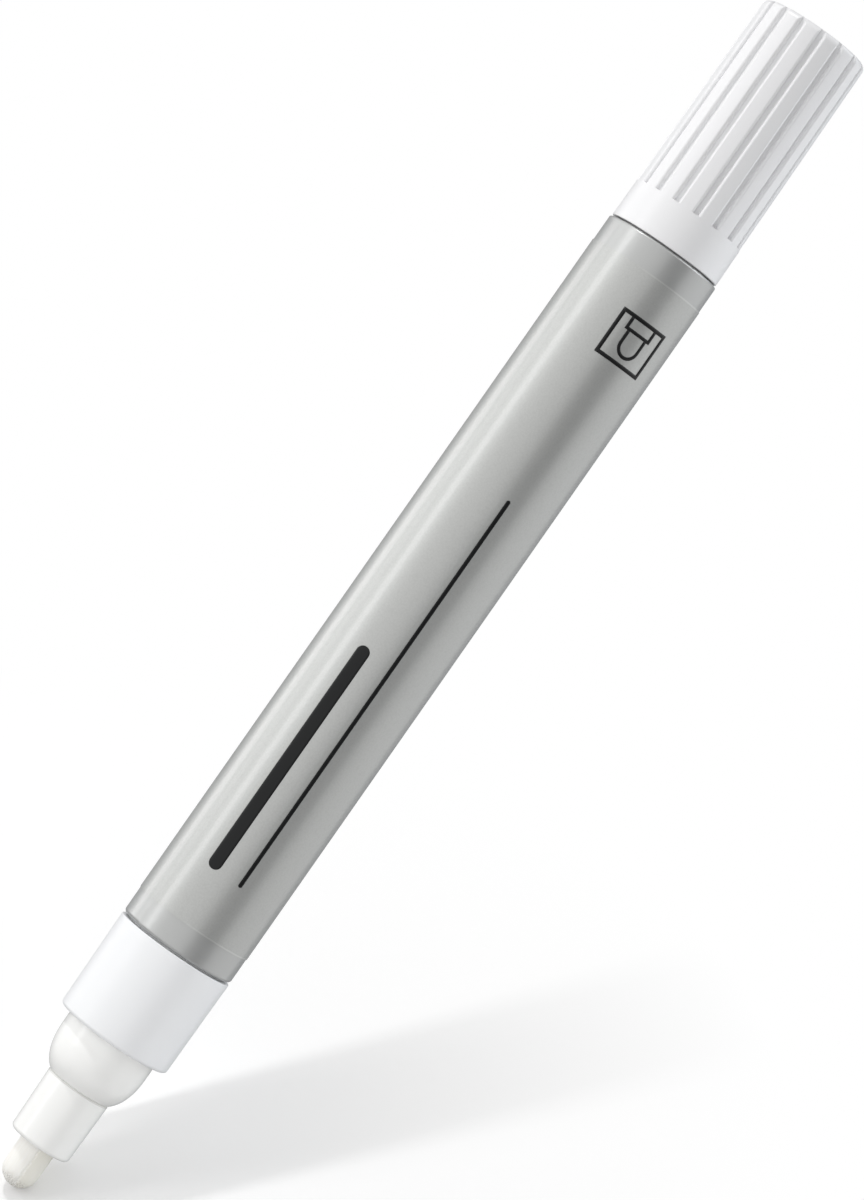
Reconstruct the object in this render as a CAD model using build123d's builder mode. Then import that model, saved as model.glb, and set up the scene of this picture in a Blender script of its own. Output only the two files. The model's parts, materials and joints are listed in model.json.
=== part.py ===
from build123d import *

import math
import os

# A liquid chalk marker standing on its nib, with the cap posted on its tail.
# The marker's axis is +Z, the origin is the tip of the nib, and sizes are in millimetres.

# Nib: a fibre rod with a round tip, pushed in to open the valve
nib_diameter = 4.0
nib_length = 24.0
nib_reach = 5.05
nib_back_bevel = 0.3
nib_clearance = 0.08
press_travel = 2.0

# Nose: the tube that holds the nib and the ogive behind it, in one moulding
holder_front_diameter = 6.94
holder_back_diameter = 7.2
holder_length = 7.1
holder_corner = 0.45
ogive_step = 0.08
ogive_seam_width = 0.22
ogive_seam_depth = 0.14
ogive_diameter = 10.3
ogive_length = 6.1
ogive_seat_length = 1.65
ogive_back_bevel = 0.15
ogive_swell_share = 0.33
nose_spigot_length = 9.4
throat_wall = 1.2
throat_depth = 12.5
throat_taper = 1.0
vent_count = 4
vent_width = 0.7
vent_depth = 0.35
vent_setback = 1.2

# Collar: the white ring, with the spigot that the barrel is pressed on
collar_front_diameter = 12.9
collar_back_diameter = 13.15
collar_length = 11.1
collar_corner = 0.4
collar_edge = 0.08
spigot_length = 6.0
spigot_wall = 1.1
spigot_lead = 0.3

# Barrel and the printed film round it
barrel_gap = 0.2
barrel_length = 86.25
barrel_wall = 0.95
barrel_front_edge = 0.4
barrel_rear_edge = 0.2
film_diameter = 13.2
film_thickness = 0.065
film_margin = 3.0

# Valve: gasket, cage, stem and spring
gasket_thickness = 1.2
gasket_overlap = 1.0
neck_diameter = 3.0
neck_flow_gap = 0.5
head_thickness = 1.2
head_boss_diameter = 3.4
head_boss_height = 0.8
tail_diameter = 2.2
tail_clearance = 0.08
tail_engagement = 0.7
tail_spare = 0.15
cage_length = 14.0
cage_wall = 1.0
cage_end = 1.2
guide_diameter = 3.6
window_count = 4
window_width = 3.0
window_margin = 0.8
ball_dish = 0.5
spring_wire = 0.45
spring_diameter = 4.6
spring_turns = 6
spring_end_gap = 0.05

# Mixing ball
ball_diameter = 6.0
ball_clearance = 0.1

# Tail plug, with the stud that carries the posted cap
tail_seat_length = 8.0
tail_recess = 0.1
stud_diameter = 10.3
stud_length = 7.2
stud_corner = 0.4
tail_wall = 1.2
tail_floor = 1.6

# Cap: shell with a plain band and lengthwise grooves, and the liner inside it
cap_gap = 0.2
cap_length = 26.9
cap_rim_diameter = 12.8
cap_band_diameter = 12.7
cap_band_length = 4.3
rib_step = 0.05
cap_end_diameter = 12.35
cap_end_corner = 0.7
cap_end_wall = 1.5
cap_rim_edge = 0.12
cap_mouth_lead = 0.25
cap_clearance = 0.05
mouth_spare = 2.4
groove_count = 16
groove_turn = 5.3
groove_width = 0.6
groove_depth = 0.55
groove_lip = 0.28
groove_floor_corner = 0.1
liner_diameter = 9.4
liner_clearance = 0.06
liner_end_wall = 1.0
liner_lead = 0.4

# How far a cutting shape runs past the face that it cuts
cut_overrun = 1.0

# Heights along the axis
holder_z = nib_reach
ogive_z = holder_z + holder_length
collar_z = ogive_z + ogive_length
collar_top_z = collar_z + collar_length
spigot_top_z = collar_top_z + spigot_length
gasket_z = collar_z + nose_spigot_length
cage_z = gasket_z + gasket_thickness
cage_top_z = cage_z + cage_length
spring_z = cage_z + head_thickness
spring_top_z = cage_top_z - cage_end
tail_top_z = cage_top_z - ball_dish - tail_spare - press_travel
guide_z = tail_top_z - tail_engagement
barrel_z = collar_top_z + barrel_gap
barrel_top_z = barrel_z + barrel_length
plug_z = barrel_top_z - tail_seat_length
stud_top_z = barrel_top_z + stud_length
cap_z = barrel_top_z + cap_gap
band_z = cap_z + cap_band_length
mouth_top_z = stud_top_z + mouth_spare
cap_top_z = cap_z + cap_length
liner_top_z = cap_top_z - cap_end_wall

# Radii that several pieces share
nib_radius = nib_diameter / 2
nib_bore_radius = nib_radius + nib_clearance
ogive_radius = ogive_diameter / 2
film_radius = film_diameter / 2
barrel_radius = film_radius - film_thickness
barrel_bore_radius = barrel_radius - barrel_wall
collar_bore_radius = barrel_bore_radius - spigot_wall
throat_radius = collar_bore_radius - throat_wall
gasket_hole_radius = neck_diameter / 2 + neck_flow_gap
head_radius = gasket_hole_radius + gasket_overlap
tail_radius = tail_diameter / 2
guide_bore_radius = tail_radius + tail_clearance
stud_radius = stud_diameter / 2
mouth_radius = stud_radius + cap_clearance
liner_radius = liner_diameter / 2
liner_bore_radius = holder_back_diameter / 2 + liner_clearance

os.makedirs("parts", exist_ok=True)


# Nib
with BuildPart() as nib:
    with BuildSketch(Plane.XZ):
        with BuildLine():
            tip = CenterArc((0, nib_radius), nib_radius, -90, 90)
            side = Line(tip @ 1, (nib_radius, nib_length - nib_back_bevel))
            bevel = Line(side @ 1, (nib_radius - nib_back_bevel, nib_length))
            Polyline(bevel @ 1, (0, nib_length), tip @ 0)
        make_face()
    revolve(axis=Axis.Z)
nib.part.label = "nib"
export_step(nib.part, "parts/nib.step")


# Nose cone, with air channels beside the nib
throat_z = gasket_z - throat_depth
vent_z = holder_z + vent_setback
seat_z = collar_z - ogive_seat_length
swell_z = ogive_z + ogive_swell_share * (seat_z - ogive_z)
holder_back_radius = holder_back_diameter / 2
with BuildPart() as nose_cone:
    with BuildSketch(Plane.XZ):
        with BuildLine():
            front = Line((nib_bore_radius, holder_z), (holder_front_diameter / 2 - holder_corner, holder_z))
            corner = JernArc(front @ 1, front % 1, holder_corner, 90)
            tube = Line(corner @ 1, (holder_back_radius, ogive_z - ogive_seam_width / 2))
            seam = Polyline(
                tube @ 1,
                (holder_back_radius - ogive_seam_depth, ogive_z),
                (holder_back_radius + ogive_step, ogive_z + ogive_seam_width / 2),
            )
            ogive = Bezier(seam @ 1, (ogive_radius, swell_z), (ogive_radius, seat_z))
            Polyline(
                ogive @ 1,
                (ogive_radius, collar_z - ogive_back_bevel),
                (ogive_radius - ogive_back_bevel, collar_z),
                (collar_bore_radius, collar_z),
                (collar_bore_radius, gasket_z),
                (throat_radius, gasket_z),
                (throat_radius, throat_z + throat_taper),
                (nib_bore_radius, throat_z),
                front @ 0,
            )
        make_face()
    revolve(axis=Axis.Z)
    with BuildSketch(Plane.XY.offset(vent_z)):
        with PolarLocations(nib_bore_radius, vent_count):
            Rectangle(2 * vent_depth, vent_width)
    extrude(amount=throat_z + throat_taper - vent_z, mode=Mode.SUBTRACT)
nose_cone.part.label = "nose_cone"
export_step(nose_cone.part, "parts/nose_cone.step")


# Front collar
with BuildPart() as front_collar:
    with BuildSketch(Plane.XZ):
        with BuildLine():
            Polyline(
                (collar_bore_radius, collar_z),
                (collar_front_diameter / 2, collar_z),
                (collar_back_diameter / 2, collar_top_z),
                (barrel_bore_radius, collar_top_z),
                (barrel_bore_radius, spigot_top_z),
                (collar_bore_radius, spigot_top_z),
                close=True,
            )
        make_face()
    revolve(axis=Axis.Z)
    rings = front_collar.edges().filter_by(GeomType.CIRCLE).group_by(Axis.Z)
    fillet(rings[0].sort_by(SortBy.RADIUS)[-1], collar_corner)
    rings = front_collar.edges().filter_by(GeomType.CIRCLE).group_by(Axis.Z)
    fillet(rings[-2].sort_by(SortBy.RADIUS)[-1], collar_edge)
    chamfer(rings[-1].sort_by(SortBy.RADIUS)[-1], spigot_lead)
front_collar.part.label = "front_collar"
export_step(front_collar.part, "parts/front_collar.step")


# Barrel tube
with BuildPart() as barrel_tube:
    with BuildSketch(Plane.XY.offset(barrel_z)):
        Circle(barrel_radius)
        Circle(barrel_bore_radius, mode=Mode.SUBTRACT)
    extrude(amount=barrel_length)
    outer_rings = barrel_tube.edges().filter_by(GeomType.CIRCLE).group_by(SortBy.RADIUS)[-1].sort_by(Axis.Z)
    fillet(outer_rings[0], barrel_front_edge)
    outer_rings = barrel_tube.edges().filter_by(GeomType.CIRCLE).group_by(SortBy.RADIUS)[-1].sort_by(Axis.Z)
    fillet(outer_rings[-1], barrel_rear_edge)
barrel_tube.part.label = "barrel_tube"
export_step(barrel_tube.part, "parts/barrel_tube.step")


# Label sleeve
with BuildPart() as label_sleeve:
    with BuildSketch(Plane.XY.offset(barrel_z + film_margin)):
        Circle(film_radius)
        Circle(barrel_radius, mode=Mode.SUBTRACT)
    extrude(amount=barrel_length - 2 * film_margin)
label_sleeve.part.label = "label_sleeve"
export_step(label_sleeve.part, "parts/label_sleeve.step")


# Valve gasket
with BuildPart() as valve_gasket:
    with BuildSketch(Plane.XY.offset(gasket_z)):
        Circle(collar_bore_radius)
        Circle(gasket_hole_radius, mode=Mode.SUBTRACT)
    extrude(amount=gasket_thickness)
valve_gasket.part.label = "valve_gasket"
export_step(valve_gasket.part, "parts/valve_gasket.step")


# Valve cage: a tube with an end wall, a guide for the stem's tail and windows for the ink
window_z = spigot_top_z + window_margin
window_height = spring_top_z - window_margin - window_z
with BuildPart() as valve_cage:
    with BuildSketch(Plane.XZ):
        with BuildLine():
            Polyline(
                (collar_bore_radius, cage_z),
                (collar_bore_radius, cage_top_z),
                (guide_bore_radius + ball_dish, cage_top_z),
                (guide_bore_radius, cage_top_z - ball_dish),
                (guide_bore_radius, guide_z),
                (guide_diameter / 2, guide_z),
                (guide_diameter / 2, spring_top_z),
                (collar_bore_radius - cage_wall, spring_top_z),
                (collar_bore_radius - cage_wall, cage_z),
                close=True,
            )
        make_face()
    revolve(axis=Axis.Z)
    with BuildSketch(Plane.XY.offset(window_z)):
        with PolarLocations(collar_bore_radius - cage_wall / 2, window_count):
            Rectangle(cage_wall + 2 * cut_overrun, window_width)
    extrude(amount=window_height, mode=Mode.SUBTRACT)
valve_cage.part.label = "valve_cage"
export_step(valve_cage.part, "parts/valve_cage.step")


# Valve stem: front pin, head that shuts the valve, boss inside the spring and guided tail
with BuildPart() as valve_stem:
    with BuildSketch(Plane.XZ):
        with BuildLine():
            Polyline(
                (0, nib_length),
                (neck_diameter / 2, nib_length),
                (neck_diameter / 2, cage_z),
                (head_radius, cage_z),
                (head_radius, spring_z),
                (head_boss_diameter / 2, spring_z),
                (head_boss_diameter / 2, spring_z + head_boss_height),
                (tail_radius, spring_z + head_boss_height),
                (tail_radius, tail_top_z),
                (0, tail_top_z),
                close=True,
            )
        make_face()
    revolve(axis=Axis.Z)
valve_stem.part.label = "valve_stem"
export_step(valve_stem.part, "parts/valve_stem.step")


def coil_point(turns):
    """The middle of the spring's wire after a number of turns, and the way that it runs there."""
    angle = 2 * math.pi * turns
    radius = spring_diameter / 2
    point = Vector(radius * math.cos(angle), radius * math.sin(angle), coil_z + coil_pitch * turns)
    way = Vector(-math.sin(angle), math.cos(angle), coil_pitch / (2 * math.pi * radius))
    return point, way.normalized()


def coil_arcs(start_turns, end_turns):
    """Two arcs, each tangent to the other, that carry the wire from one point to the next."""
    start, start_way = coil_point(start_turns)
    end, end_way = coil_point(end_turns)
    span = end - start
    along = span.dot(start_way + end_way)
    bend = 2 * (1 - start_way.dot(end_way))
    reach = (math.sqrt(along**2 + bend * span.dot(span)) - along) / bend
    middle = (start + end + (start_way - end_way) * reach) / 2
    first = TangentArc(start, middle, tangent=start_way)
    TangentArc(middle, end, tangent=first % 1)


# Valve spring, open-wound, between the stem's head and the cage's end wall
coil_z = spring_z + spring_end_gap + spring_wire / 2
coil_pitch = (spring_top_z - spring_end_gap - spring_wire / 2 - coil_z) / spring_turns
with BuildPart() as valve_spring:
    with BuildLine() as coil:
        for half_turn in range(2 * spring_turns):
            coil_arcs(half_turn / 2, (half_turn + 1) / 2)
    with BuildSketch(Plane(origin=coil_point(0)[0], z_dir=coil_point(0)[1])):
        Circle(spring_wire / 2)
    sweep(path=coil.wire())
valve_spring.part.label = "valve_spring"
export_step(valve_spring.part, "parts/valve_spring.step")
coil_length = coil.wire().length
coil_volume_share = valve_spring.part.volume / (coil_length * math.pi * spring_wire**2 / 4)
print("spring: gap between turns", round(coil_pitch - spring_wire, 3), "volume share", round(coil_volume_share, 4))


# Mixing ball, resting in the dish on top of the cage
dish_angle = math.radians(45)
ball_radius = ball_diameter / 2
ball_z = cage_top_z - ball_dish - guide_bore_radius + (ball_radius + ball_clearance) / math.sin(dish_angle)
with BuildPart() as mixing_ball:
    with Locations((0, 0, ball_z)):
        Sphere(ball_radius)
mixing_ball.part.label = "mixing_ball"
export_step(mixing_ball.part, "parts/mixing_ball.step")
print("mixing ball: rest height", round(ball_z, 3), "free travel", round(plug_z - ball_z - ball_radius, 3))


# Tail plug: a cup pressed in the barrel's rear end, with its stud standing out
with BuildPart() as tail_plug:
    with BuildSketch(Plane.XZ):
        with BuildLine():
            Polyline(
                (0, plug_z),
                (barrel_bore_radius, plug_z),
                (barrel_bore_radius, barrel_top_z - tail_recess),
                (stud_radius, barrel_top_z - tail_recess),
                (stud_radius, stud_top_z),
                (stud_radius - tail_wall, stud_top_z),
                (stud_radius - tail_wall, plug_z + tail_floor),
                (0, plug_z + tail_floor),
                close=True,
            )
        make_face()
    revolve(axis=Axis.Z)
    stud_rings = tail_plug.edges().filter_by(GeomType.CIRCLE).group_by(Axis.Z)[-1]
    fillet(stud_rings.sort_by(SortBy.RADIUS)[-1], stud_corner)
tail_plug.part.label = "tail_plug"
export_step(tail_plug.part, "parts/tail_plug.step")


# One groove of the cap, cut along the slope of its side
land_radius = cap_band_diameter / 2 - rib_step
land_fall = land_radius - cap_end_diameter / 2
land_length = cap_top_z - band_z
lip_half_width = groove_width / 2 + groove_lip
lip_sag = land_radius - math.sqrt(land_radius**2 - lip_half_width**2)
groove_plane = Plane(
    origin=(land_radius, 0, band_z),
    x_dir=(land_length, 0, land_fall),
    z_dir=(-land_fall, 0, land_length),
)
with BuildPart() as groove:
    with BuildSketch(groove_plane):
        with BuildLine():
            floor = Line((-groove_depth, 0), (-groove_depth, groove_width / 2 - groove_floor_corner))
            floor_corner = JernArc(floor @ 1, floor % 1, groove_floor_corner, -90)
            wall = Line(floor_corner @ 1, (-lip_sag - groove_lip, groove_width / 2))
            lip = JernArc(wall @ 1, wall % 1, groove_lip, 90)
            Polyline(lip @ 1, (cut_overrun, lip_half_width), (cut_overrun, 0))
            mirror(about=Plane.XZ)
        make_face()
    extrude(amount=land_length + cut_overrun)

# Cap shell
with BuildPart() as cap_shell:
    with BuildSketch(Plane.XZ):
        with BuildLine():
            Polyline(
                (mouth_radius, cap_z),
                (cap_rim_diameter / 2, cap_z),
                (cap_band_diameter / 2, band_z),
                (land_radius, band_z),
                (cap_end_diameter / 2, cap_top_z),
                (0, cap_top_z),
                (0, liner_top_z),
                (liner_radius, liner_top_z),
                (liner_radius, mouth_top_z),
                (mouth_radius, mouth_top_z),
                close=True,
            )
        make_face()
    revolve(axis=Axis.Z)
    shell_rings = cap_shell.edges().filter_by(GeomType.CIRCLE).group_by(Axis.Z)
    fillet(shell_rings[-1], cap_end_corner)
    rim_rings = cap_shell.edges().filter_by(GeomType.CIRCLE).group_by(Axis.Z)[0].sort_by(SortBy.RADIUS)
    fillet(rim_rings[-1], cap_rim_edge)
    chamfer(rim_rings[0], cap_mouth_lead)
    with PolarLocations(0, groove_count, start_angle=groove_turn - 90):
        add(groove.part, mode=Mode.SUBTRACT)
cap_shell.part.label = "cap_shell"
export_step(cap_shell.part, "parts/cap_shell.step")


# Cap liner: the inner cup that closes round the nib's holder
with BuildPart() as cap_liner:
    with BuildSketch(Plane.XZ):
        with BuildLine():
            Polyline(
                (liner_bore_radius + liner_lead, mouth_top_z),
                (liner_radius, mouth_top_z),
                (liner_radius, liner_top_z),
                (0, liner_top_z),
                (0, liner_top_z - liner_end_wall),
                (liner_bore_radius, liner_top_z - liner_end_wall),
                (liner_bore_radius, mouth_top_z + liner_lead),
                close=True,
            )
        make_face()
    revolve(axis=Axis.Z)
cap_liner.part.label = "cap_liner"
export_step(cap_liner.part, "parts/cap_liner.step")
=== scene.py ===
"""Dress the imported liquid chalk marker: finishes, fibre nib, valve spring, print, studio and camera.

Blender works in metres. A name that ends in _mm is in millimetres and passes through MM.
The marker's axis is +Z, its nib's tip is the origin, and -Y faces the photograph's camera.
"""

import json
import logging
import math
import random
from dataclasses import dataclass
from enum import Enum
from typing import Any

import bmesh
import bpy
from mathutils import Matrix, Vector, noise


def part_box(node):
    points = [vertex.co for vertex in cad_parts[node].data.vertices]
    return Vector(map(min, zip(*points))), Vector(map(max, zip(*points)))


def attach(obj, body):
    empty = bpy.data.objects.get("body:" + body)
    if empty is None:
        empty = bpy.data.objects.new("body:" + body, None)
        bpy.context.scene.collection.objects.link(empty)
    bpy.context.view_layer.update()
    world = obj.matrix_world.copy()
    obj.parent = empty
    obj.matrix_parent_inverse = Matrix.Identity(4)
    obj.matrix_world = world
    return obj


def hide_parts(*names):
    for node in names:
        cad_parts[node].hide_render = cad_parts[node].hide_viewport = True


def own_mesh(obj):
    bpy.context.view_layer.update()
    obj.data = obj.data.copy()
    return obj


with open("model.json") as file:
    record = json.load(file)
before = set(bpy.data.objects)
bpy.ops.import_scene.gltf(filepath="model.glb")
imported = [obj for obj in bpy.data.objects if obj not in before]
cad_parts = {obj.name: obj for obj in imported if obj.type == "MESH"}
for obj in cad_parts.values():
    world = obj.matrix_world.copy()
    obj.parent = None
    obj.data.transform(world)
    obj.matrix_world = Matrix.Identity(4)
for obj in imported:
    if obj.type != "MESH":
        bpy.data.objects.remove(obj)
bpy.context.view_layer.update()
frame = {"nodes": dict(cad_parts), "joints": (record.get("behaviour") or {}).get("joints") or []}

MM = 0.001
# Sockets of a colour mix node, whose names repeat: its share, its two colours and its result
MIX_SHARE = 0
MIX_FIRST = 6
MIX_SECOND = 7
MIX_RESULT = 2
LOG = logging.getLogger("chalk_marker")


class Body(Enum):
    """The bodies that pieces ride on."""

    BARREL = "barrel"
    NIB_UNIT = "nib_unit"


class Side(Enum):
    """The two sides of a printed mark: the one in the film and the one that shows."""

    FILM = 0
    FACE = 1


def linear(hex_colour: str) -> tuple[float, float, float, float]:
    """Turn an sRGB colour into linear values.

    Args:
        hex_colour: The colour as it is seen, such as "#f4f4f2".
    Returns:
        Linear red, green and blue, and an alpha of one.
    """
    channels = [int(hex_colour[at : at + 2], 16) / 255 for at in (1, 3, 5)]
    red, green, blue = [c / 12.92 if c <= 0.04045 else ((c + 0.055) / 1.055) ** 2.4 for c in channels]
    return red, green, blue, 1.0


def per_metre(size_mm: float) -> float:
    """The scale at which a texture's features are the given size in millimetres."""
    return 1 / (size_mm * MM)


def add_node(
    tree: bpy.types.NodeTree,
    kind: str,
    settings: dict[str | int, Any] | None = None,
    links: dict[str | int, bpy.types.NodeSocket] | None = None,
) -> bpy.types.Node:
    """Add a node to a tree, with its settings and links.

    Args:
        tree: The tree that takes the node.
        kind: The node's type without its ShaderNode prefix.
        settings: Values by property name, or by the name or number of an input.
        links: Sockets to join to inputs, by the input's name or number.
    Returns:
        The new node.
    """
    node = tree.nodes.new("ShaderNode" + kind)
    for key, value in (settings or {}).items():
        if isinstance(key, str) and hasattr(node, key):
            setattr(node, key, value)
        else:
            node.inputs[key].default_value = value
    for key, socket in (links or {}).items():
        tree.links.new(socket, node.inputs[key])
    return node


def start_material(name: str) -> tuple[bpy.types.Material, bpy.types.NodeTree, bpy.types.NodeSocket]:
    """Start a material with an empty tree.

    Args:
        name: The material's name.
    Returns:
        The material, its tree and the input that takes its surface.
    """
    material = bpy.data.materials.new(name)
    material.use_nodes = True
    tree = material.node_tree
    tree.nodes.clear()
    output = add_node(tree, "OutputMaterial")
    return material, tree, output.inputs["Surface"]


@dataclass(frozen=True)
class MouldedPlastic:
    """A moulded plastic: an even colour with faint flow marks under a fine satin skin."""

    name: str
    colour: str
    flow_colour: str
    roughness: float
    ior: float = 1.5
    flow_mm: float = 9.0
    flow_stretch: float = 0.3
    flow_detail: float = 3.0
    skin_mm: float = 0.45
    skin_depth_mm: float = 0.0012
    skin_detail: float = 2.0
    roughness_spread: float = 0.06
    subsurface: float = 0.0
    subsurface_mm: float = 0.6
    subsurface_tint: tuple[float, float, float] = (1.0, 0.9, 0.8)
    metallic: float = 0.0
    coat: float = 0.0
    coat_roughness: float = 0.05
    crease_heights_mm: tuple[float, ...] = ()
    crease_mm: float = 0.11
    crease_shade_colour: str = "#e9e9e6"

    def material(self) -> bpy.types.Material:
        """Build the material.

        Returns:
            The new material.
        """
        material, tree, surface = start_material(self.name)
        place = add_node(tree, "TexCoord").outputs["Object"]
        along = add_node(tree, "Mapping", {"Scale": (1, 1, self.flow_stretch)}, {"Vector": place}).outputs[0]
        flow = add_node(
            tree,
            "TexNoise",
            {"Scale": per_metre(self.flow_mm), "Detail": self.flow_detail},
            {"Vector": along},
        ).outputs[0]
        colour = add_node(
            tree,
            "Mix",
            {"data_type": "RGBA", MIX_FIRST: linear(self.colour), MIX_SECOND: linear(self.flow_colour)},
            {MIX_SHARE: flow},
        ).outputs[MIX_RESULT]
        # Painted shade: a thin band at each crease height is coloured greyer, as a fine line.
        for crease_height in self.crease_heights_mm:
            height = add_node(tree, "SeparateXYZ", links={"Vector": place}).outputs["Z"]
            in_crease_shade = add_node(
                tree,
                "Math",
                {"operation": "COMPARE", 1: crease_height * MM, 2: self.crease_mm * MM},
                {0: height},
            ).outputs[0]
            colour = add_node(
                tree,
                "Mix",
                {"data_type": "RGBA", MIX_SECOND: linear(self.crease_shade_colour)},
                {MIX_SHARE: in_crease_shade, MIX_FIRST: colour},
            ).outputs[MIX_RESULT]
        skin = add_node(
            tree,
            "TexNoise",
            {"Scale": per_metre(self.skin_mm), "Detail": self.skin_detail},
            {"Vector": place},
        ).outputs[0]
        smoothest, roughest = self.roughness - self.roughness_spread, self.roughness + self.roughness_spread
        roughness = add_node(
            tree, "MapRange", {"To Min": smoothest, "To Max": roughest}, {"Value": skin}
        ).outputs[0]
        bump = add_node(tree, "Bump", {"Distance": self.skin_depth_mm * MM}, {"Height": skin}).outputs[0]
        shader = add_node(
            tree,
            "BsdfPrincipled",
            {
                "IOR": self.ior,
                "Metallic": self.metallic,
                "Subsurface Weight": self.subsurface,
                "Subsurface Scale": self.subsurface_mm * MM,
                "Subsurface Radius": self.subsurface_tint,
                "Coat Weight": self.coat,
                "Coat Roughness": self.coat_roughness,
            },
            {"Base Color": colour, "Roughness": roughness, "Normal": bump},
        )
        tree.links.new(shader.outputs[0], surface)
        return material


@dataclass(frozen=True)
class SilverFilm:
    """A clear gloss film over silver pigment: fine flakes below, and a skin that waves a little."""

    name: str
    colour: str
    flake_colour: str
    roughness: float
    metallic: float
    coat: float
    coat_roughness: float
    flake_mm: float
    wave_mm: float
    wave_depth_mm: float
    wave_stretch: float
    edge_highlight_colour: str
    edge_mm: float
    edge_fade_mm: float
    edge_heights: tuple[float, float]
    wave_detail: float = 1.0

    def material(self) -> bpy.types.Material:
        """Build the material.

        Returns:
            The new material.
        """
        material, tree, surface = start_material(self.name)
        place = add_node(tree, "TexCoord").outputs["Object"]
        flakes = add_node(
            tree, "TexVoronoi", {"Scale": per_metre(self.flake_mm)}, {"Vector": place}
        ).outputs[0]
        colour = add_node(
            tree,
            "Mix",
            {"data_type": "RGBA", MIX_FIRST: linear(self.colour), MIX_SECOND: linear(self.flake_colour)},
            {MIX_SHARE: flakes},
        ).outputs[MIX_RESULT]
        way = add_node(tree, "SeparateXYZ", links={"Vector": place}).outputs
        # Painted highlights: fine pale lines at the film's two ends, which fade out towards the left.
        reach = self.edge_fade_mm * MM
        highlight_side = add_node(
            tree, "MapRange", {"From Min": -reach, "From Max": reach}, {"Value": way["X"]}
        ).outputs[0]
        for edge in self.edge_heights:
            near = add_node(
                tree, "Math", {"operation": "COMPARE", 1: edge, 2: self.edge_mm * MM}, {0: way["Z"]}
            ).outputs[0]
            shown = add_node(tree, "Math", {"operation": "MULTIPLY"}, {0: near, 1: highlight_side}).outputs[0]
            colour = add_node(
                tree,
                "Mix",
                {"data_type": "RGBA", MIX_SECOND: linear(self.edge_highlight_colour)},
                {MIX_SHARE: shown, MIX_FIRST: colour},
            ).outputs[MIX_RESULT]
        along = add_node(tree, "Mapping", {"Scale": (1, 1, self.wave_stretch)}, {"Vector": place}).outputs[0]
        waves = add_node(
            tree,
            "TexNoise",
            {"Scale": per_metre(self.wave_mm), "Detail": self.wave_detail},
            {"Vector": along},
        ).outputs[0]
        bump = add_node(tree, "Bump", {"Distance": self.wave_depth_mm * MM}, {"Height": waves}).outputs[0]
        shader = add_node(
            tree,
            "BsdfPrincipled",
            {
                "Metallic": self.metallic,
                "Roughness": self.roughness,
                "Coat Weight": self.coat,
                "Coat Roughness": self.coat_roughness,
            },
            {"Base Color": colour, "Normal": bump, "Coat Normal": bump},
        )
        tree.links.new(shader.outputs[0], surface)
        return material


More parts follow.
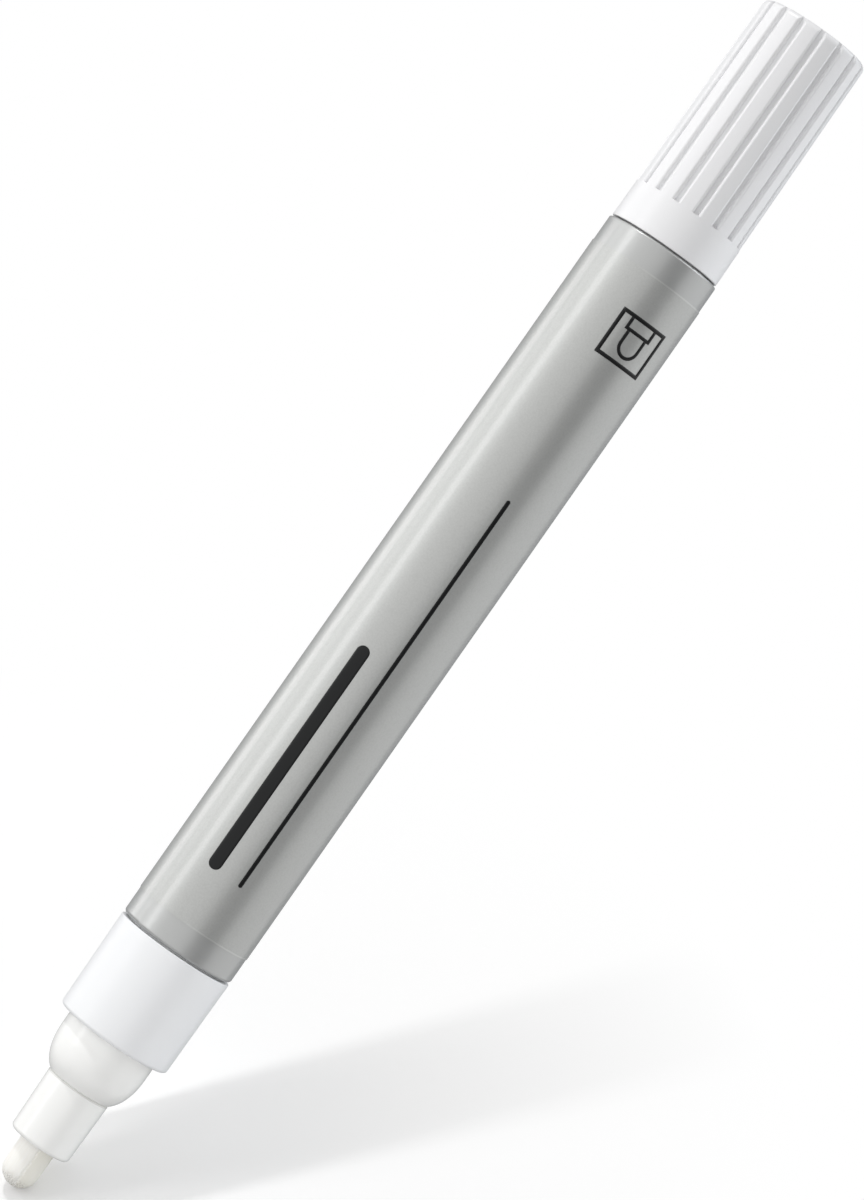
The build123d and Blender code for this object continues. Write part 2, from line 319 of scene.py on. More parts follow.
@dataclass(frozen=True)
class BondedFibre:
    """Fibres bonded side by side: matt streaks, painted shade on one side, and a soiled tip."""

    name: str
    colour: str
    gap_colour: str
    soil_colour: str
    roughness: float
    fibre_mm: float
    fibre_stretch: float
    cut_end_mm: float
    soil_height_mm: float
    shaded_side_colour: str
    shaded_side_edge_mm: float
    shaded_side_ragged_mm: float
    fibre_detail: float = 3.0
    cut_end_detail: float = 2.0
    streak_low: float = 0.38
    streak_high: float = 0.62
    speck_low: float = 0.46
    speck_high: float = 0.6
    relief: float = 0.15
    sheen: float = 0.25
    sheen_roughness: float = 0.6

    def material(self) -> bpy.types.Material:
        """Build the material.

        Returns:
            The new material.
        """
        material, tree, surface = start_material(self.name)
        place = add_node(tree, "TexCoord").outputs["Object"]
        along = add_node(tree, "Mapping", {"Scale": (1, 1, self.fibre_stretch)}, {"Vector": place}).outputs[0]
        fibres = add_node(
            tree,
            "TexNoise",
            {"Scale": per_metre(self.fibre_mm), "Detail": self.fibre_detail},
            {"Vector": along},
        ).outputs[0]
        streaks = add_node(
            tree, "MapRange", {"From Min": self.streak_low, "From Max": self.streak_high}, {"Value": fibres}
        ).outputs[0]
        clean = add_node(
            tree,
            "Mix",
            {"data_type": "RGBA", MIX_FIRST: linear(self.gap_colour), MIX_SECOND: linear(self.colour)},
            {MIX_SHARE: streaks},
        ).outputs[MIX_RESULT]
        ends = add_node(
            tree,
            "TexNoise",
            {"Scale": per_metre(self.cut_end_mm), "Detail": self.cut_end_detail},
            {"Vector": place},
        ).outputs[0]
        way = add_node(tree, "SeparateXYZ", links={"Vector": place}).outputs
        # Painted shade: the right side is coloured greyer, behind a ragged edge.
        ragged = add_node(
            tree,
            "Math",
            {"operation": "MULTIPLY_ADD", 1: self.shaded_side_ragged_mm * MM},
            {0: ends, 2: way["X"]},
        ).outputs[0]
        edge = (self.shaded_side_edge_mm + self.shaded_side_ragged_mm / 2) * MM
        shaded_side = add_node(
            tree, "MapRange", {"From Min": edge, "From Max": edge + self.fibre_mm * MM}, {"Value": ragged}
        ).outputs[0]
        sided = add_node(
            tree,
            "Mix",
            {"data_type": "RGBA", MIX_SECOND: linear(self.shaded_side_colour)},
            {MIX_SHARE: shaded_side, MIX_FIRST: clean},
        ).outputs[MIX_RESULT]
        nearness = add_node(
            tree, "MapRange", {"From Min": self.soil_height_mm * MM, "From Max": 0.0}, {"Value": way["Z"]}
        ).outputs[0]
        specks = add_node(
            tree, "MapRange", {"From Min": self.speck_low, "From Max": self.speck_high}, {"Value": ends}
        ).outputs[0]
        soil = add_node(tree, "Math", {"operation": "MULTIPLY"}, {0: nearness, 1: specks}).outputs[0]
        colour = add_node(
            tree,
            "Mix",
            {"data_type": "RGBA", MIX_SECOND: linear(self.soil_colour)},
            {MIX_SHARE: soil, MIX_FIRST: sided},
        ).outputs[MIX_RESULT]
        bump = add_node(
            tree, "Bump", {"Distance": self.fibre_mm * MM, "Strength": self.relief}, {"Height": fibres}
        ).outputs[0]
        shader = add_node(
            tree,
            "BsdfPrincipled",
            {
                "Roughness": self.roughness,
                "Sheen Weight": self.sheen,
                "Sheen Roughness": self.sheen_roughness,
            },
            {"Base Color": colour, "Normal": bump},
        )
        tree.links.new(shader.outputs[0], surface)
        return material


@dataclass(frozen=True)
class Steel:
    """Stainless steel: a metal with fine marks from drawing or tumbling."""

    name: str
    colour: str
    mark_colour: str
    roughness: float
    mark_mm: float
    mark_depth_mm: float
    mark_detail: float = 4.0

    def material(self) -> bpy.types.Material:
        """Build the material.

        Returns:
            The new material.
        """
        material, tree, surface = start_material(self.name)
        place = add_node(tree, "TexCoord").outputs["Object"]
        marks = add_node(
            tree,
            "TexNoise",
            {"Scale": per_metre(self.mark_mm), "Detail": self.mark_detail},
            {"Vector": place},
        ).outputs[0]
        colour = add_node(
            tree,
            "Mix",
            {"data_type": "RGBA", MIX_FIRST: linear(self.colour), MIX_SECOND: linear(self.mark_colour)},
            {MIX_SHARE: marks},
        ).outputs[MIX_RESULT]
        bump = add_node(tree, "Bump", {"Distance": self.mark_depth_mm * MM}, {"Height": marks}).outputs[0]
        shader = add_node(
            tree,
            "BsdfPrincipled",
            {"Metallic": 1.0, "Roughness": self.roughness},
            {"Base Color": colour, "Normal": bump},
        )
        tree.links.new(shader.outputs[0], surface)
        return material


# Polypropylene with white pigment, moulded in a lightly polished tool: an even white with a satin sheen
COLLAR_WHITE = MouldedPlastic("polypropylene_white_collar", "#f7f8f9", "#f3f4f6", roughness=0.36)
CAP_WHITE = MouldedPlastic("polypropylene_white_cap", "#f2f2f3", "#ededee", roughness=0.32)
PLUG_WHITE = MouldedPlastic("polypropylene_white_plug", "#f0f0f1", "#eaeaeb", roughness=0.4)
# Unpigmented polypropylene, moulded: milky white and a little warm, with soft lights from a smooth tool.
# A fine grey line of painted shade is drawn in the crease between its tube and its ogive.
NOSE_MILKY = MouldedPlastic(
    "polypropylene_milky_nose",
    "#fefefc",
    "#fcfcfa",
    roughness=0.22,
    roughness_spread=0.02,
    skin_depth_mm=0.0004,
    crease_heights_mm=(12.06,),
)
# Low-density polyethylene, moulded thin: waxy and softly cloudy
LINER_MILKY = MouldedPlastic(
    "polyethylene_milky_liner", "#eeeeea", "#e6e6e1", roughness=0.5, subsurface=0.2, subsurface_mm=0.8
)
# Polypropylene with silver pigment, extruded: a soft metallic grey with a gloss skin
BARREL_SILVER = MouldedPlastic(
    "polypropylene_silver_barrel",
    "#c0c1c0",
    "#b9bab9",
    roughness=0.4,
    metallic=0.5,
    coat=0.45,
    coat_roughness=0.1,
    flow_mm=5.0,
    skin_depth_mm=0.0006,
)
# Clear polyester film over silver pigment: gloss streaks of the lamps over a soft metallic grey.
# The pigment's flakes are under 0.05 mm and are drawn four times as coarse, so that they show.
# The film's cut ends are given painted highlights on the right, as fine pale lines.
FILM_SILVER = SilverFilm(
    "polyester_film_silver",
    "#c1c2c0",
    "#b9bab8",
    roughness=0.42,
    metallic=0.5,
    coat=0.45,
    coat_roughness=0.1,
    flake_mm=0.2,
    wave_mm=6.0,
    wave_depth_mm=0.03,
    wave_stretch=0.35,
    edge_highlight_colour="#cbccca",
    edge_mm=0.16,
    edge_fade_mm=1.5,
    edge_heights=tuple(corner[2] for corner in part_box("label_sleeve")),
)
# Acetal, moulded: white, dense and slippery, with a low sheen
VALVE_ACETAL = MouldedPlastic(
    "acetal_white_valve", "#ecece9", "#e4e4e0", roughness=0.42, ior=1.48, flow_mm=4.0
)
# Nitrile rubber, moulded: near black and dull
GASKET_RUBBER = MouldedPlastic(
    "nitrile_rubber_gasket", "#222222", "#2c2c2c", roughness=0.8, skin_mm=0.25, skin_depth_mm=0.006
)
# Screen ink: black, with a slight gloss from the varnish over it
PRINT_BLACK = MouldedPlastic(
    "screen_ink_black",
    "#0d0e0f",
    "#131415",
    roughness=0.4,
    ior=1.38,
    flow_mm=2.0,
    skin_mm=0.2,
    skin_depth_mm=0.0006,
)
# Acrylic fibres bonded with resin and ground to a bullet: creamy, matt, streaked along the rod.
# A fibre is about 0.03 mm thick and is drawn four times as coarse, so that it shows.
# The right side is painted a little grey as shade, with a ragged edge, and the cut ends at the tip are
# soiled.
NIB_FIBRE = BondedFibre(
    "acrylic_fibre_nib",
    "#fefdf9",
    "#faf8f2",
    "#a29c92",
    roughness=0.9,
    fibre_mm=0.13,
    fibre_stretch=0.06,
    cut_end_mm=0.16,
    soil_height_mm=1.3,
    shaded_side_colour="#f3f1e8",
    shaded_side_edge_mm=0.35,
    shaded_side_ragged_mm=1.2,
)
# Drawn stainless wire: bright with faint lengthwise marks
SPRING_STEEL = Steel("stainless_wire_drawn", "#a9a9ac", "#8f8f93", 0.28, mark_mm=0.12, mark_depth_mm=0.001)
# Tumbled stainless ball: a bright mirror with the faintest scuffs
BALL_STEEL = Steel("stainless_ball_tumbled", "#b4b4b7", "#a2a2a6", 0.14, mark_mm=0.3, mark_depth_mm=0.0004)

NODE_FINISHES: dict[str, MouldedPlastic | SilverFilm | Steel] = {
    "nose_cone": NOSE_MILKY,
    "front_collar": COLLAR_WHITE,
    "barrel_tube": BARREL_SILVER,
    "label_sleeve": FILM_SILVER,
    "tail_plug": PLUG_WHITE,
    "cap_shell": CAP_WHITE,
    "cap_liner": LINER_MILKY,
    "valve_gasket": GASKET_RUBBER,
    "valve_cage": VALVE_ACETAL,
    "valve_stem": VALVE_ACETAL,
    "mixing_ball": BALL_STEEL,
}


def dress_nodes() -> None:
    """Give every CAD node that isn't replaced its finish."""
    built: dict[str, bpy.types.Material] = {}
    for node, finish in NODE_FINISHES.items():
        if finish.name not in built:
            built[finish.name] = finish.material()
        materials = frame["nodes"][node].data.materials
        materials.clear()
        materials.append(built[finish.name])
        LOG.info("%s: %s", node, finish.name)


def add_piece(name: str, mesh: bmesh.types.BMesh, material: bpy.types.Material) -> bpy.types.Object:
    """Turn a built mesh into an object of the scene.

    Args:
        name: The piece's name.
        mesh: The built mesh, which is freed.
        material: The piece's material.
    Returns:
        The new object.
    """
    bmesh.ops.recalc_face_normals(mesh, faces=mesh.faces)
    data = bpy.data.meshes.new(name)
    mesh.to_mesh(data)
    mesh.free()
    data.materials.append(material)
    data.shade_smooth()
    piece = bpy.data.objects.new(name, data)
    bpy.context.scene.collection.objects.link(piece)
    LOG.info("%s: %d vertices", name, len(data.vertices))
    return piece


def bridge_rings(
    mesh: bmesh.types.BMesh, first: list[bmesh.types.BMVert], second: list[bmesh.types.BMVert]
) -> None:
    """Join two rings of as many vertices with a band of quads.

    Args:
        mesh: The mesh that takes the band.
        first: The first ring.
        second: The second ring, which starts at the same side.
    """
    count = len(first)
    for at in range(count):
        after = (at + 1) % count
        mesh.faces.new((first[at], first[after], second[after], second[at]))


def tube_along(
    mesh: bmesh.types.BMesh, path: list[Vector], radii: list[float], sides: int, up: Vector
) -> None:
    """Add a closed tube along a path.

    Args:
        mesh: The mesh that takes the tube.
        path: The points of the tube's middle line.
        radii: The tube's radius at each point.
        sides: The number of sides of its section.
        up: A direction that the path never runs along.
    """
    rings = []
    last = len(path) - 1
    for at, (point, radius) in enumerate(zip(path, radii)):
        way = (path[min(at + 1, last)] - path[max(at - 1, 0)]).normalized()
        across = way.cross(up).normalized()
        over = across.cross(way)
        turns = [2 * math.pi * side / sides for side in range(sides)]
        ring = [point + radius * (math.cos(a) * across + math.sin(a) * over) for a in turns]
        rings.append([mesh.verts.new(place) for place in ring])
    for first, second in zip(rings, rings[1:]):
        bridge_rings(mesh, first, second)
    mesh.faces.new(rings[0])
    mesh.faces.new(rings[-1])


def flat_mesh(width: float, length: float) -> bmesh.types.BMesh:
    """Build a flat rectangle about the origin.

    Args:
        width: Its size along X.
        length: Its size along Y.
    Returns:
        The mesh.
    """
    mesh = bmesh.new()
    # A grid's size is half its side, so this one is a unit square
    bmesh.ops.create_grid(mesh, x_segments=1, y_segments=1, size=0.5)
    bmesh.ops.scale(mesh, vec=(width, length, 1), verts=mesh.verts)
    return mesh


@dataclass
class FibreNib:
    """The bullet nib: a rod of bonded fibres with a ground round tip that has begun to fray."""

    radius: float
    length: float
    back_bevel_mm: float = 0.3
    sides: int = 168
    tip_rings: int = 44
    shaft_rings: int = 60
    flute_mm: float = 0.16
    flute_length_mm: float = 3.0
    flute_depth_mm: float = 0.01
    pit_mm: float = 0.22
    pit_length_mm: float = 1.0
    pit_start: float = 7.0
    pit_depth_mm: float = 0.11
    fray_height_mm: float = 1.6
    crease_turn_deg: float = 10.0
    crease_slant_deg_per_mm: float = 0.5
    crease_width_deg: float = 3.5
    crease_depth_mm: float = 0.1
    wander_deg: float = 5.0
    wander_mm: float = 0.6
    wander_start: tuple[float, float] = (3.0, 5.0)
    hair_seed: int = 11
    hair_count: int = 60
    hair_length_mm: tuple[float, float] = (0.2, 0.55)
    hair_radius_mm: float = 0.022
    hair_taper: float = 0.6
    hair_sides: int = 5
    hair_shares: tuple[float, ...] = (0.0, 0.35, 0.7, 1.0)
    hair_spread_deg: float = 78.0
    hair_root_mm: float = 0.06
    hair_lift_mm: float = 0.13
    hair_bow: float = 1.6

    def profile(self) -> list[tuple[float, float]]:
        """Draw the nib's outline, from beside the tip's pole to the back's rim.

        Returns:
            The radius and height of each point.
        """
        steps = [math.radians(90) * (at + 1) / self.tip_rings for at in range(self.tip_rings)]
        outline = [(self.radius * math.sin(a), self.radius * (1 - math.cos(a))) for a in steps]
        bevel = self.back_bevel_mm * MM
        shaft = self.length - bevel - self.radius
        shares = [(at + 1) / self.shaft_rings for at in range(self.shaft_rings)]
        # Rings lie closest at the tip, where the nib shows
        outline += [(self.radius, self.radius + shaft * share**2) for share in shares]
        outline.append((self.radius - bevel, self.length))
        return outline

    def wear(self, turn: float, height: float) -> float:
        """How far the worn surface lies under the ground one.

        Args:
            turn: The angle round the axis from the camera's side, in radians.
            height: The height over the tip.
        Returns:
            A depth in metres.
        """
        side = Vector((math.sin(turn), math.cos(turn), 0)) * self.radius
        flute_along = Vector((0, 0, height / (self.flute_length_mm * MM)))
        flute = noise.noise(side / (self.flute_mm * MM) + flute_along)
        # Towards the pole the sides draw together, and the pits with them
        pit_side = side * (height / self.radius) ** 0.5 / (self.pit_mm * MM)
        pit_along = Vector((0, 0, self.pit_start + height / (self.pit_length_mm * MM)))
        pit = noise.noise(pit_side + pit_along)
        fray = max(0.0, 1 - height / (self.fray_height_mm * MM))
        wander = self.wander_deg * noise.noise(Vector((*self.wander_start, height / (self.wander_mm * MM))))
        crease_turn = self.crease_turn_deg + self.crease_slant_deg_per_mm * height / MM + wander
        off_crease = (math.degrees(turn) - crease_turn) / self.crease_width_deg
        crease = self.crease_depth_mm * math.exp(-(off_crease**2))
        fluted = self.flute_depth_mm * (0.5 + 0.5 * flute)
        pitted = self.pit_depth_mm * fray * max(0.0, pit)
        return MM * (fluted + pitted + crease)

    def build_rod(self) -> bmesh.types.BMesh:
        """Build the rod with its flutes, crease and frayed tip.

        Returns:
            The mesh.
        """
        mesh = bmesh.new()
        rings = []
        for radius, height in self.profile():
            ring = []
            for side in range(self.sides):
                turn = 2 * math.pi * side / self.sides - math.pi
                across, near = math.sin(turn) * radius, -math.cos(turn) * radius
                outward = Vector((across, near, min(0.0, height - self.radius))).normalized()
                point = Vector((across, near, height))
                ring.append(mesh.verts.new(point - self.wear(turn, height) * outward))
            rings.append(ring)
        for first, second in zip(rings, rings[1:]):
            bridge_rings(mesh, first, second)
        pole = mesh.verts.new((0, 0, self.wear(0, 0)))
        for side in range(self.sides):
            mesh.faces.new((pole, rings[0][side], rings[0][(side + 1) % self.sides]))
        mesh.faces.new(rings[-1])
        return mesh

    def build_fray(self) -> bmesh.types.BMesh:
        """Build the loose fibres that stand off the tip.

        Returns:
            The mesh.
        """
        mesh = bmesh.new()
        draw = random.Random(self.hair_seed)
        middle = Vector((0, 0, self.radius))
        for _ in range(self.hair_count):
            turn = draw.uniform(-math.pi, math.pi)
            fall = math.radians(self.hair_spread_deg) * math.sqrt(draw.random())
            across, near = math.sin(turn) * math.sin(fall), -math.cos(turn) * math.sin(fall)
            outward = Vector((across, near, -math.cos(fall)))
            lean = outward.orthogonal().normalized()
            lean.rotate(Matrix.Rotation(draw.uniform(-math.pi, math.pi), 3, outward))
            length = draw.uniform(*self.hair_length_mm) * MM
            root = middle + outward * (self.radius - self.hair_root_mm * MM)
            lift = outward * MM * self.hair_lift_mm
            path = [root + lean * length * s + lift * s * (self.hair_bow - s) for s in self.hair_shares]
            radii = [self.hair_radius_mm * MM * (1 - self.hair_taper * s) for s in self.hair_shares]
            tube_along(mesh, path, radii, self.hair_sides, outward)
        return mesh

    def dress(self) -> None:
        """Put the nib and its loose fibres in place of the plain rod."""
        material = NIB_FIBRE.material()
        rod = add_piece("bullet_nib", self.build_rod(), material)
        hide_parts("nib")
        fray = add_piece("nib_fray", self.build_fray(), material)
        for piece in (rod, fray):
            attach(piece, Body.NIB_UNIT.value)


@dataclass
class ValveSpring:
    """The valve's compression spring, wound from drawn wire with its end coils closed."""

    outer_radius: float
    bottom: float
    top: float
    press_travel: float
    wire_mm: float = 0.45
    turns: int = 6
    end_turns: float = 0.8
    ramp_turns: float = 0.5
    steps_per_turn: int = 40
    sides: int = 16

    def rise(self) -> list[float]:
        """Work out how the wire climbs, less in the closed end coils than between them.

        Returns:
            Its height over its lower end, step by step, in open steps.
        """
        climb = [0.0]
        wire = self.wire_mm * MM
        closed = wire / (self.top - self.bottom - wire) * self.turns
        for step in range(self.turns * self.steps_per_turn):
            turn = (step + 0.5) / self.steps_per_turn
            inward = min(turn, self.turns - turn) - self.end_turns
            openness = min(1.0, max(0.0, inward / self.ramp_turns))
            climb.append(climb[-1] + closed + openness * (1 - closed))
        return climb

    def build(self) -> bmesh.types.BMesh:
        """Build the coil.

        Returns:
            The mesh.
        """
        mesh = bmesh.new()
        wire = self.wire_mm * MM / 2
        radius = self.outer_radius - wire
        bottom = self.bottom + wire
        rise = self.rise()
        span = self.top - wire - bottom
        path = []
        for step, climbed in enumerate(rise):
            turn = 2 * math.pi * step / self.steps_per_turn
            height = bottom + span * climbed / rise[-1]
            path.append(Vector((radius * math.cos(turn), radius * math.sin(turn), height)))
        tube_along(mesh, path, [wire] * len(path), self.sides, Vector((0, 0, 1)))
        return mesh

    def dress(self) -> None:
        """Put the coil in place of the plain one."""
        spring = add_piece("coil_spring", self.build(), SPRING_STEEL.material())
        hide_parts("valve_spring")
        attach(spring, Body.BARREL.value)
        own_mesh(spring)


@dataclass
class FilmPrint:
    """The black print on the film: a framed picture of the nib's shape, a bold bar and a fine rule.

    A place on the film is how far round it lies to the right of the camera's side, and its height.
    Both are in millimetres.
    """

    film_radius: float
    ink_mm: float = 0.012
    step_mm: float = 0.2
    bar_step_mm: float = 1.0
    end_steps: int = 10
    arc_steps: int = 18
    line_lanes: int = 2
    frame_across_mm: float = 2.97
    frame_height_mm: float = 105.95
    frame_size_mm: tuple[float, float] = (5.52, 4.96)
    frame_line_mm: float = 0.42
    picture_across_mm: float = -0.1
    holder_size_mm: tuple[float, float] = (2.97, 1.4)
    tip_width_mm: float = 2.22
    tip_length_mm: float = 2.7
    tip_line_mm: float = 0.36
    bar_across_mm: float = -1.65
    bar_heights_mm: tuple[float, float] = (38.6, 65.8)
    bar_width_mm: float = 1.5
    rule_across_mm: float = 1.75
    rule_heights_mm: tuple[float, float] = (38.6, 86.0)
    rule_width_mm: float = 0.45

    def on_film(self, place: Vector, side: Side) -> Vector:
        """Lay a place of the unrolled film on the barrel.

        Args:
            place: The place, in millimetres.
            side: The side of the ink.
        Returns:
            The point in metres.
        """
        radius = self.film_radius + (self.ink_mm if side is Side.FACE else -self.ink_mm) * MM
        turn = place.x * MM / self.film_radius
        return Vector((radius * math.sin(turn), -radius * math.cos(turn), place.y * MM))

    def add_ribbon(
        self,
        mesh: bmesh.types.BMesh,
        stations: list[tuple[Vector, Vector]],
        lanes: int,
        closed: bool,
    ) -> None:
        """Add one printed line as a thin closed shell that follows the film.

        Args:
            mesh: The mesh that takes the line.
            stations: The line's middle and the way from there to its edge, along the line.
            lanes: The number of faces across the line.
            closed: Whether the line's end meets its start.
        """
        shares = [2 * lane / lanes - 1 for lane in range(lanes + 1)]
        grids = {
            side: [[mesh.verts.new(self.on_film(p + e * s, side)) for s in shares] for p, e in stations]
            for side in Side
        }
        count = len(stations)
        for at in range(count if closed else count - 1):
            after = (at + 1) % count
            for side in Side:
                here, there = grids[side][at], grids[side][after]
                for lane in range(lanes):
                    mesh.faces.new((here[lane], here[lane + 1], there[lane + 1], there[lane]))
            for lane in (0, lanes):
                film, face = grids[Side.FILM], grids[Side.FACE]
                mesh.faces.new((film[at][lane], film[after][lane], face[after][lane], face[at][lane]))
        if not closed:
            for at in (0, count - 1):
                for lane in range(lanes):
                    film, face = grids[Side.FILM][at], grids[Side.FACE][at]
                    mesh.faces.new((film[lane], film[lane + 1], face[lane + 1], face[lane]))

    def spaced(self, points: list[Vector], closed: bool) -> list[Vector]:
        """Add points along a line's straight runs, so that it follows the film's curve.

        Args:
            points: The line's corners.
            closed: Whether the line's end meets its start.
        Returns:
            The corners and the points between them.
        """
        runs = list(zip(points, points[1:] + points[:1])) if closed else list(zip(points, points[1:]))
        line = []
        for start, end in runs:
            count = max(1, math.ceil((end - start).length / self.step_mm))
            line += [start.lerp(end, at / count) for at in range(count)]
        return line if closed else line + [points[-1]]

    def add_line(self, mesh: bmesh.types.BMesh, points: list[Vector], width_mm: float, closed: bool) -> None:
        """Add a line of one width with mitred corners.

        Args:
            mesh: The mesh that takes the line.
            points: The line's corners.
            width_mm: The line's width.
            closed: Whether the line's end meets its start.
        """
        line = self.spaced(points, closed)
        count = len(line)
        stations = []
        for at, point in enumerate(line):
            before = line[at - 1] if closed or at else point
            after = line[(at + 1) % count] if closed or at < count - 1 else point
            ways = [way.normalized() for way in (point - before, after - point) if way.length]
            edges = [Vector((-way.y, way.x)) for way in ways]
            middle = (edges[0] + edges[-1]).normalized()
            stations.append((point, middle * (width_mm / 2 / middle.dot(edges[0]))))
        self.add_ribbon(mesh, stations, self.line_lanes, closed)

    def add_bar(
        self, mesh: bmesh.types.BMesh, across_mm: float, heights_mm: tuple[float, float], width_mm: float
    ) -> None:
        """Add an upright bar with round ends.

        Args:
            mesh: The mesh that takes the bar.
            across_mm: How far round the film its middle lies.
            heights_mm: The heights of its two ends.
            width_mm: The bar's width.
        """
        low, high = heights_mm
        half = width_mm / 2
        swings = [math.radians(90) * at / self.end_steps for at in range(1, self.end_steps + 1)]
        lower = [(low + half * (1 - math.sin(math.radians(90) - a)), half * math.sin(a)) for a in swings]
        upper = [(low + high - height, width) for height, width in reversed(lower)]
        straight = high - low - width_mm
        runs = math.ceil(straight / self.bar_step_mm)
        shaft = [(low + half + straight * at / runs, half) for at in range(1, runs)]
        rows = lower + shaft + upper
        stations = [(Vector((across_mm, height)), Vector((width, 0))) for height, width in rows]
        lanes = max(self.line_lanes, math.ceil(width_mm / self.step_mm))
        self.add_ribbon(mesh, stations, lanes, closed=False)

    def build_tip_sign(self) -> bmesh.types.BMesh:
        """Build the frame with the outline of a bullet nib in its holder.

        Returns:
            The mesh.
        """
        mesh = bmesh.new()
        middle = Vector((self.frame_across_mm, self.frame_height_mm))
        half_width, half_height = (size / 2 for size in self.frame_size_mm)
        corners = [(-1, -1), (1, -1), (1, 1), (-1, 1)]
        border = [middle + Vector((x * half_width, y * half_height)) for x, y in corners]
        self.add_line(mesh, border, self.frame_line_mm, closed=True)
        middle.x += self.picture_across_mm
        holder_half = self.holder_size_mm[0] / 2
        top = half_height - self.frame_line_mm / 2
        shoulder = half_height - self.holder_size_mm[1]
        tip = self.tip_width_mm / 2
        bend = shoulder - self.tip_length_mm + tip
        holder = [(-holder_half, top), (-holder_half, shoulder), (holder_half, shoulder), (holder_half, top)]
        self.add_line(mesh, [middle + Vector(place) for place in holder], self.tip_line_mm, closed=False)
        turns = [math.pi * at / self.arc_steps for at in range(self.arc_steps + 1)]
        arc = [(-tip * math.cos(a), bend - tip * math.sin(a)) for a in turns]
        below = shoulder - self.tip_line_mm / 2
        outline = [(-tip, below), *arc, (tip, below)]
        self.add_line(mesh, [middle + Vector(place) for place in outline], self.tip_line_mm, closed=False)
        return mesh

    def build_lines(self) -> bmesh.types.BMesh:
        """Build the bold bar and the fine rule.

        Returns:
            The mesh.
        """
        mesh = bmesh.new()
        self.add_bar(mesh, self.bar_across_mm, self.bar_heights_mm, self.bar_width_mm)
        self.add_bar(mesh, self.rule_across_mm, self.rule_heights_mm, self.rule_width_mm)
        return mesh

    def dress(self) -> None:
        """Print the marks on the film."""
        ink = PRINT_BLACK.material()
        marks = {"tip_sign_print": self.build_tip_sign(), "line_sample_print": self.build_lines()}
        for name, mesh in marks.items():
            piece = add_piece(name, mesh, ink)
            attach(piece, Body.BARREL.value)


@dataclass(frozen=True)
class Panel:
    """A lamp or card beside the marker, placed round its axis.

    Angles go round the axis from the camera's side, to the right, and up along the axis.
    """

    name: str
    turn_deg: float
    rise_deg: float
    distance: float
    width: float
    length: float
    target_height: float

    def pose(self) -> Matrix:
        """Stand the panel with its face to the axis and its length along it.

        Returns:
            Its place in the world.
        """
        turn, rise = math.radians(self.turn_deg), math.radians(self.rise_deg)
        across, near = math.sin(turn) * math.cos(rise), -math.cos(turn) * math.cos(rise)
        outward = Vector((across, near, math.sin(rise)))
        up = Vector((0, 0, 1))
        length_way = (up - outward * up.dot(outward)).normalized()
        width_way = length_way.cross(outward)
        turned = Matrix((width_way, length_way, outward)).transposed().to_4x4()
        return Matrix.Translation(outward * self.distance + up * self.target_height) @ turned


@dataclass(frozen=True)
class Softbox(Panel):
    """A soft lamp.

    A flagged one is kept off the floor and out of reflections, and only fills in shade.
    """

    level: float
    colour: str = "#ffffff"
    flagged: bool = False

    def add(self, off_floor: bpy.types.Collection) -> None:
        """Hang the lamp.

        Its level is the brightness that it gives a white surface that faces it.

        Args:
            off_floor: What takes and stops a flagged lamp's light, which is all but the floor.
        """
        lamp = bpy.data.lights.new(self.name, "AREA")
        lamp.shape = "RECTANGLE"
        lamp.size = self.width
        lamp.size_y = self.length
        lamp.energy = self.level * math.pi**2 * self.distance**2
        lamp.color = linear(self.colour)[:3]
        holder = bpy.data.objects.new(self.name, lamp)
        holder.matrix_world = self.pose()
        holder.visible_camera = False
        if self.flagged:
            holder.light_linking.receiver_collection = off_floor
            holder.light_linking.blocker_collection = off_floor
            holder.visible_glossy = False
        bpy.context.scene.collection.objects.link(holder)


@dataclass(frozen=True)
class DarkCard(Panel):
    """A dark card that only shows as a reflection, as one held outside the picture does."""

    colour: str = "#303234"

    def add(self) -> None:
        """Stand the card beside the marker."""
        material, tree, surface = start_material(self.name)
        glow = add_node(tree, "Emission", {"Color": linear(self.colour), "Strength": 1.0})
        tree.links.new(glow.outputs[0], surface)
        card = add_piece(self.name, flat_mesh(self.width, self.length), material)
        card.matrix_world = self.pose()
        card.visible_camera = False
        card.visible_diffuse = False
        card.visible_shadow = False
        card.visible_transmission = False


